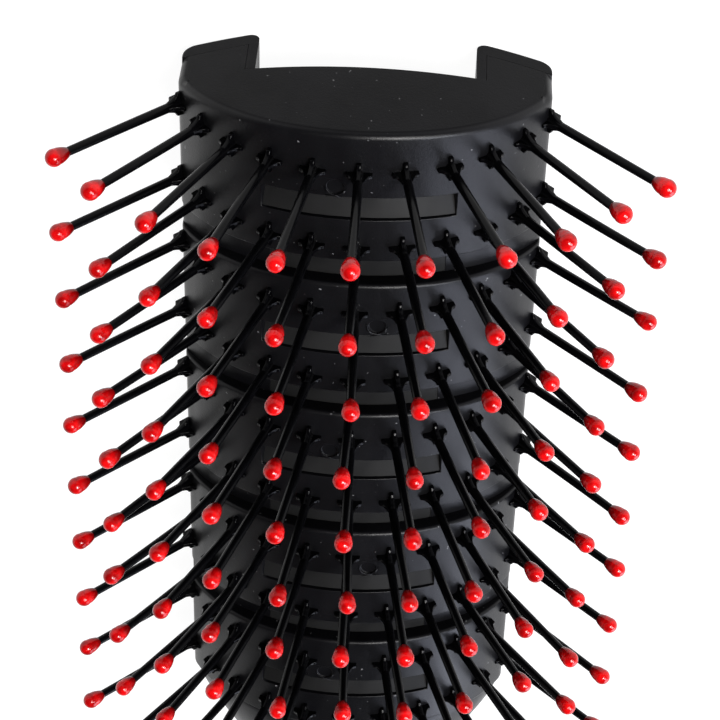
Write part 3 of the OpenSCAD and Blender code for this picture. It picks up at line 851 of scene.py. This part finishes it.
def make_handle_core():
    """The shoulder, which eases from the head's outline to a round neck, and the stub behind it."""
    bm = bmesh.new()
    sides = 180
    steps = 40
    edge, turn = 0.5 * MM, 0.15 * MM
    angles = [2 * math.pi * i / sides for i in range(sides)]

    def ring(y, reaches):
        points = [(r * math.cos(a), y, AXIS_H + r * math.sin(a)) for a, r in zip(angles, reaches)]
        return [bm.verts.new(point) for point in points]

    head = [softened_reach(a) for a in angles]
    rings = [ring(HEAD_END_Y, [r - edge for r in head]), ring(HEAD_END_Y - turn, [r - turn for r in head])]
    for k in range(1, steps + 1):
        t = k / steps
        ease = t * t * (3 - 2 * t)
        rings.append(ring(HEAD_END_Y - SHOULDER_LEN * t, [r * (1 - ease) + NECK_R * ease for r in head]))
    neck_y = HEAD_END_Y - SHOULDER_LEN
    ring_back_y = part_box("trim_ring")[1].y
    cap_front_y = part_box("end_cap")[1].y
    stations = [
        (neck_y, SEAT_R),
        (ring_back_y, SEAT_R),
        (ring_back_y, CORE_R),
        (cap_front_y, CORE_R),
        (cap_front_y, STUB_R),
        (cap_front_y - STUB_LEN, STUB_R),
    ]
    for y, radius in stations:
        rings.append(ring(y, [radius] * sides))
    bm.faces.new(rings[0])
    bm.faces.new(list(reversed(rings[-1])))
    for low, high in zip(rings, rings[1:]):
        for i in range(sides):
            j = (i + 1) % sides
            bm.faces.new((low[i], high[i], high[j], low[j]))

    # The tongue that the two screws hold in the head
    corners = []
    for y in (HEAD_END_Y - 1 * MM, HEAD_END_Y + TONGUE_LEN):
        for x, z in ((-1, TONGUE_LOW), (1, TONGUE_LOW), (1, TONGUE_HIGH), (-1, TONGUE_HIGH)):
            corners.append(bm.verts.new((x * TONGUE_HALF_W, y, z)))
    for i in range(4):
        j = (i + 1) % 4
        bm.faces.new((corners[i], corners[j], corners[j + 4], corners[i + 4]))
    bm.faces.new(corners[:4])
    bm.faces.new(corners[4:])
    bmesh.ops.recalc_face_normals(bm, faces=bm.faces)
    piece = new_object("handle_core_moulding", bm, CORE, "core", "handle_core")
    round_edges(piece, 0.09 * MM, 3, angle=50)


make_front_shell()
make_rows()
make_handle_core()
dress("back_cover", COVER, 0.06 * MM)
for name in nodes:
    if name.startswith("pin_carrier"):
        dress(name, CARRIER)
dress("trim_ring", RING)
dress("grip_sleeve", GRIP)
dress("end_cap", CAP, 0.5 * MM, 3)
dress("tongue_screws", SCREW, 0.12 * MM)

# ---- floor, light and camera -----------------------------------------------------------------

FLOOR_HALF_W = 3.0          # metres

floor_bm = bmesh.new()
bmesh.ops.create_grid(floor_bm, x_segments=8, y_segments=8, size=FLOOR_HALF_W)
floor_mesh = bpy.data.meshes.new("floor")
floor_bm.to_mesh(floor_mesh)
floor_bm.free()
floor_mesh.materials.append(floor_paper("floor_paper"))
floor = bpy.data.objects.new("floor", floor_mesh)
floor.location.z = cad_low.z
bpy.context.scene.collection.objects.link(floor)


def studio_world():
    """A dim room with a pale backdrop all round, which fades out a little above the horizon."""
    world = bpy.data.worlds.new("studio")
    world.use_nodes = True
    tree = world.node_tree
    coords = tree.nodes.new("ShaderNodeTexCoord").outputs["Generated"]
    split = tree.nodes.new("ShaderNodeSeparateXYZ")
    fade = tree.nodes.new("ShaderNodeMapRange")
    fade.inputs["From Min"].default_value = 0.18
    fade.inputs["From Max"].default_value = 0.34
    fade.inputs["To Min"].default_value = 0.95
    fade.inputs["To Max"].default_value = 0.05
    background = tree.nodes["Background"]
    background.inputs["Color"].default_value = (0.99, 0.99, 1.0, 1)
    tree.links.new(coords, split.inputs["Vector"])
    tree.links.new(split.outputs["Z"], fade.inputs["Value"])
    tree.links.new(fade.outputs["Result"], background.inputs["Strength"])
    bpy.context.scene.world = world


studio_world()
bpy.context.scene.view_settings.view_transform = "Standard"

head_centre = Vector((0, (TIP_Y + HEAD_END_Y) / 2, shell_high.z))


def area_light(name, direction, distance, size, power, colour):
    """A round light that faces the head, with its distance and size in metres and its power in watts."""
    data = bpy.data.lights.new(name, "AREA")
    data.shape = "DISK"
    data.size = size
    data.energy = power
    data.color = colour
    light = bpy.data.objects.new(name, data)
    toward = Vector(direction).normalized()
    light.location = head_centre + toward * distance
    light.rotation_mode = "QUATERNION"
    light.rotation_quaternion = toward.to_track_quat("Z", "Y")
    bpy.context.scene.collection.objects.link(light)


KEY_DIRECTION = (0.35, 0.28, 0.90)
WARM = (1.0, 0.98, 0.96)
area_light("key", KEY_DIRECTION, distance=0.9, size=0.5, power=9.0, colour=WARM)
area_light("key_core", KEY_DIRECTION, distance=0.85, size=0.10, power=3.5, colour=WARM)
area_light("rim", (0.66, -0.02, 0.70), distance=1.0, size=0.4, power=9.0, colour=(0.86, 0.90, 1.0))
area_light("side_fill", (0.7, -0.6, 0.35), distance=1.2, size=0.9, power=12.0, colour=(0.78, 0.83, 1.0))

CAMERA_PLACE = Vector((7.0, 263.9, 246.1)) * MM
LOOK = Vector((-0.0214, -0.6348, -0.7724)).normalized()
ROUGHLY_UP = Vector((-0.0488, 0.7723, -0.6334))

camera_data = bpy.data.cameras.new("camera")
camera_data.lens = 117.8
camera_data.sensor_width = 36
camera_data.clip_start = 0.01
camera = bpy.data.objects.new("camera", camera_data)
right = LOOK.cross(ROUGHLY_UP).normalized()
turn = Matrix((right, right.cross(LOOK), -LOOK)).transposed()
camera.matrix_world = Matrix.Translation(CAMERA_PLACE) @ turn.to_4x4()
bpy.context.scene.collection.objects.link(camera)
bpy.context.scene.camera = camera

bpy.context.view_layer.update()
